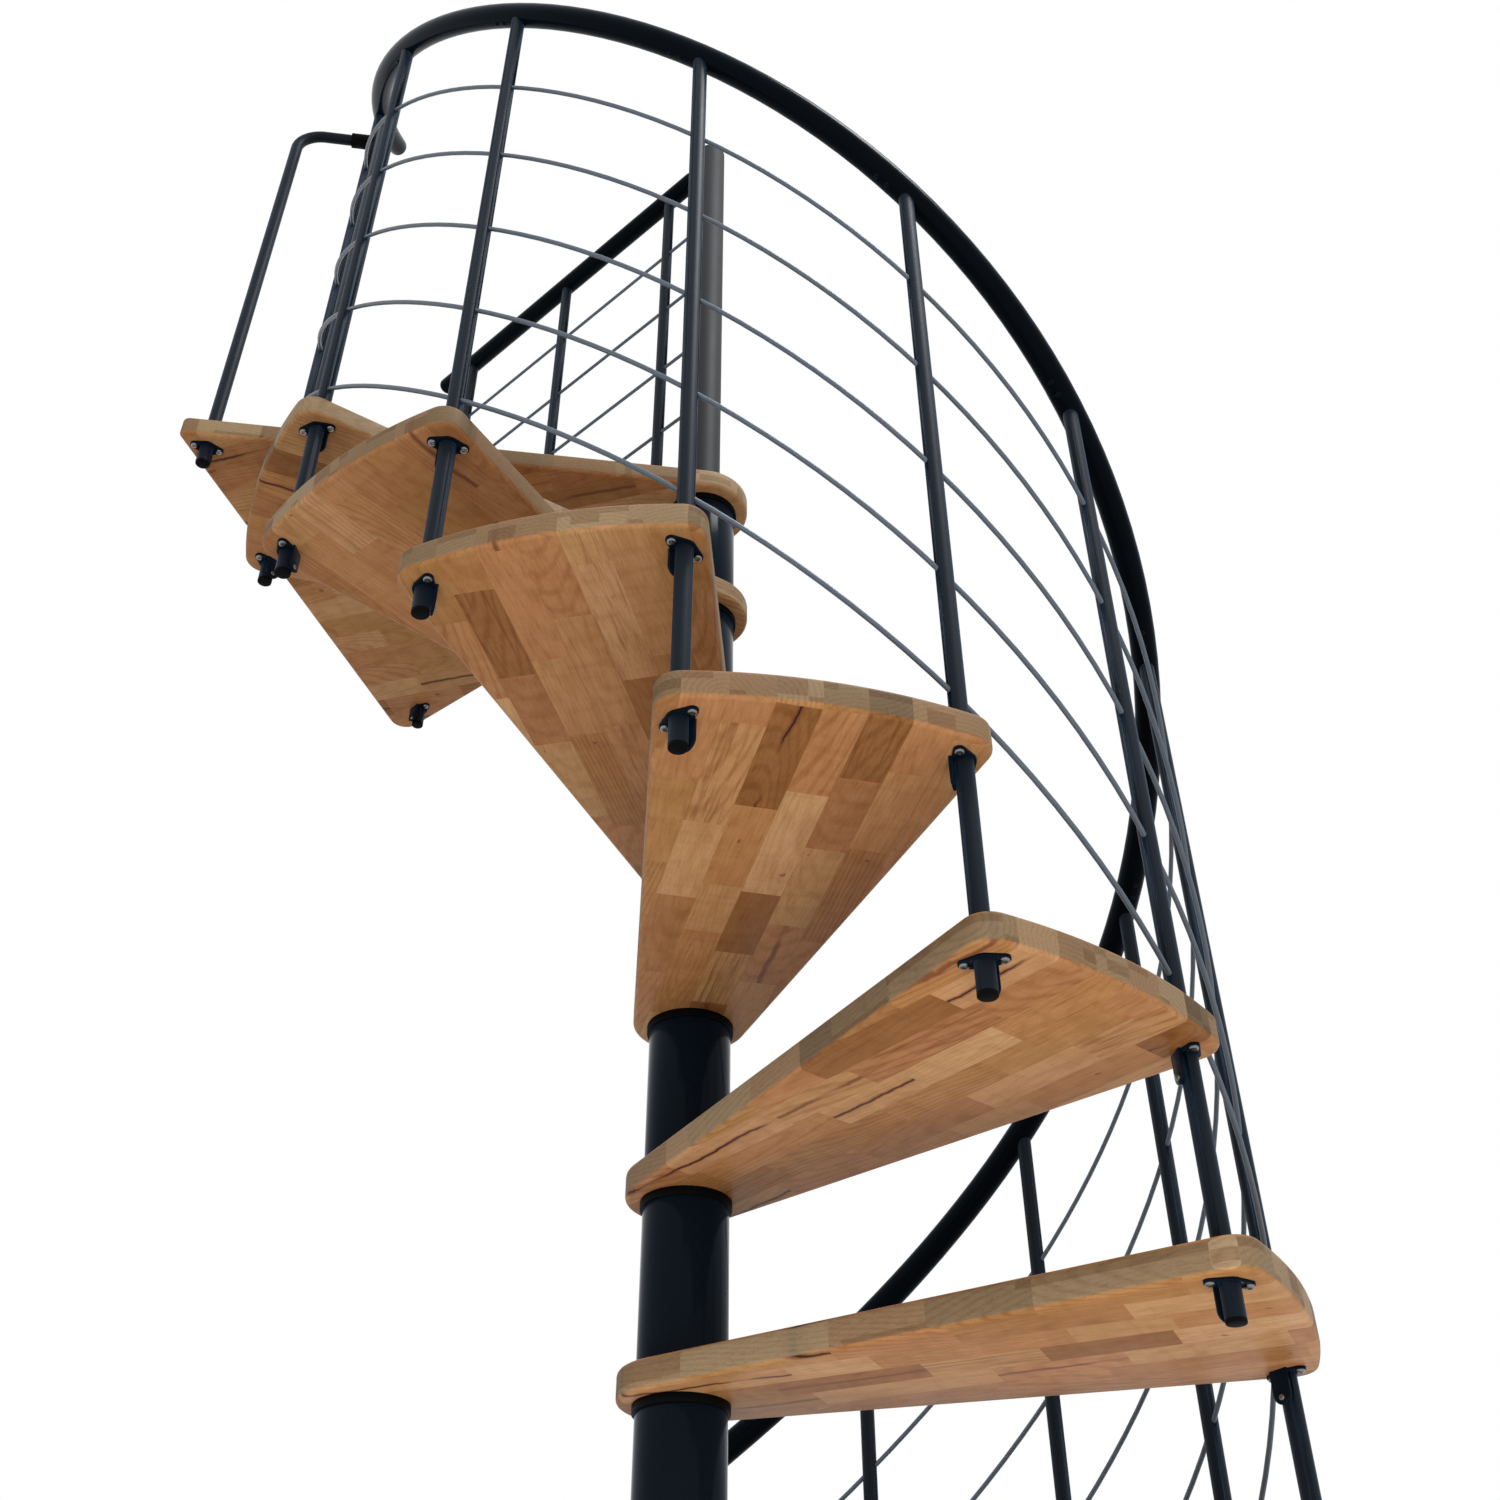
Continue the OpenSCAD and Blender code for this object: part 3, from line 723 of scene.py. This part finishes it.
# Exit post: the tube at the landing's corner, bent over at the top to the last baluster.
# A short sleeve holds its end there with one small screw.
fit(from_frame("exit_tube", "exit_post"), tube_paint, "black", "exit_post")
fit(from_frame("exit_socket", "exit_sleeve"), plastic, "black", "exit_sleeve")
screw_reach = 0.025
exit_drop = 0.111
sleeve_r = 0.0133
seat = (-last_x - screw_reach * math.cos(landing_half),
        -last_y - screw_reach * math.sin(landing_half),
        top_under + rail_above - exit_drop - sleeve_r)
exit_screw = copy_to(screw, seat, (0, 0, 0), 0.7)
exit_screw.name = "exit_screw"
fit(exit_screw, black_paint, "black")
bpy.data.objects.remove(screw)

# Studio: a pale floor that fades to white further out, a white surround and three soft lamps.
# The surround shows white to the camera and in the gloss, and lights the wood more softly.
# Only the upper lamp shows in the gloss. The camera stands where the photo was taken from.
floor = add("floor", bpy.ops.mesh.primitive_plane_add, size=40)
pale_floor, shader, place = material("pale_floor", {"Specular IOR Level": 0.2})
tint = place.noise(3.0, 5.0).mix((0.78, 0.765, 0.745, 1), (0.82, 0.805, 0.785, 1))
tint.into(shader, "Base Color")
(place.noise(20.0, 3.0) * 0.1 + 0.6).into(shader, "Roughness")
away = place.node("ShaderNodeVectorMath", {"operation": "LENGTH"}, {0: place}, "Value")
seen = place.node("ShaderNodeLightPath", {}, {}, "Is Camera Ray")
for ray in ("Is Glossy Ray", "Is Transmission Ray"):
    seen = seen.maths("MAXIMUM", seen, place.node("ShaderNodeLightPath", {}, {}, ray))
white = place.node("ShaderNodeEmission", {}, {"Strength": 1.0})
cover = {0: away.ramp(1.2, 4.5) * seen, 1: Wire(place.tree, shader.outputs["BSDF"]), 2: white}
place.node("ShaderNodeMixShader", {}, cover).into(place.tree.nodes["Material Output"], "Surface")
floor.data.materials.append(pale_floor)

world = bpy.data.worlds.new("surround")
bpy.context.scene.world = world
world.use_nodes = True
sky = world.node_tree
rays = sky.nodes.new("ShaderNodeLightPath")
seen = Wire(sky, rays.outputs["Is Camera Ray"])
seen = seen.maths("MAXIMUM", seen, Wire(sky, rays.outputs["Is Glossy Ray"]))
seen = seen.maths("MAXIMUM", seen, Wire(sky, rays.outputs["Is Transmission Ray"]))
(seen * 0.52 + 0.48).into(sky.nodes["Background"], "Strength")
sky.nodes["Background"].inputs["Color"].default_value = (1, 1, 1, 1)

for stand, aim, width, power, shows in (((1.9, -0.85, 5.9), (0, 0, 2.6), 1.2, 100, True),
                                        ((1.1, -4.6, 1.6), (0, 0, 1.8), 2.4, 70, False),
                                        ((0.6, -0.9, 0.02), (0.6, -0.9, 1), 1.7, 21, False)):
    bpy.ops.object.light_add(type="AREA", location=stand)
    lamp = bpy.context.object
    lamp.data.shape = "SQUARE"
    lamp.data.size = width
    lamp.data.energy = power
    lamp.visible_camera = False
    lamp.visible_glossy = shows
    lamp.rotation_euler = (Vector(aim) - Vector(stand)).to_track_quat("-Z", "Y").to_euler()

bpy.ops.object.camera_add(location=(0.5949, -1.8076, 0.7846),
                          rotation=(math.radians(90 + 39.56), 0, math.radians(16.1)))
camera = bpy.context.object
camera.data.sensor_width = 36
camera.data.lens = 40.008
camera.data.shift_x = 0.00249
camera.data.shift_y = -0.0561
camera.data.clip_end = 100
bpy.context.scene.camera = camera
bpy.context.scene.view_settings.view_transform = "Standard"
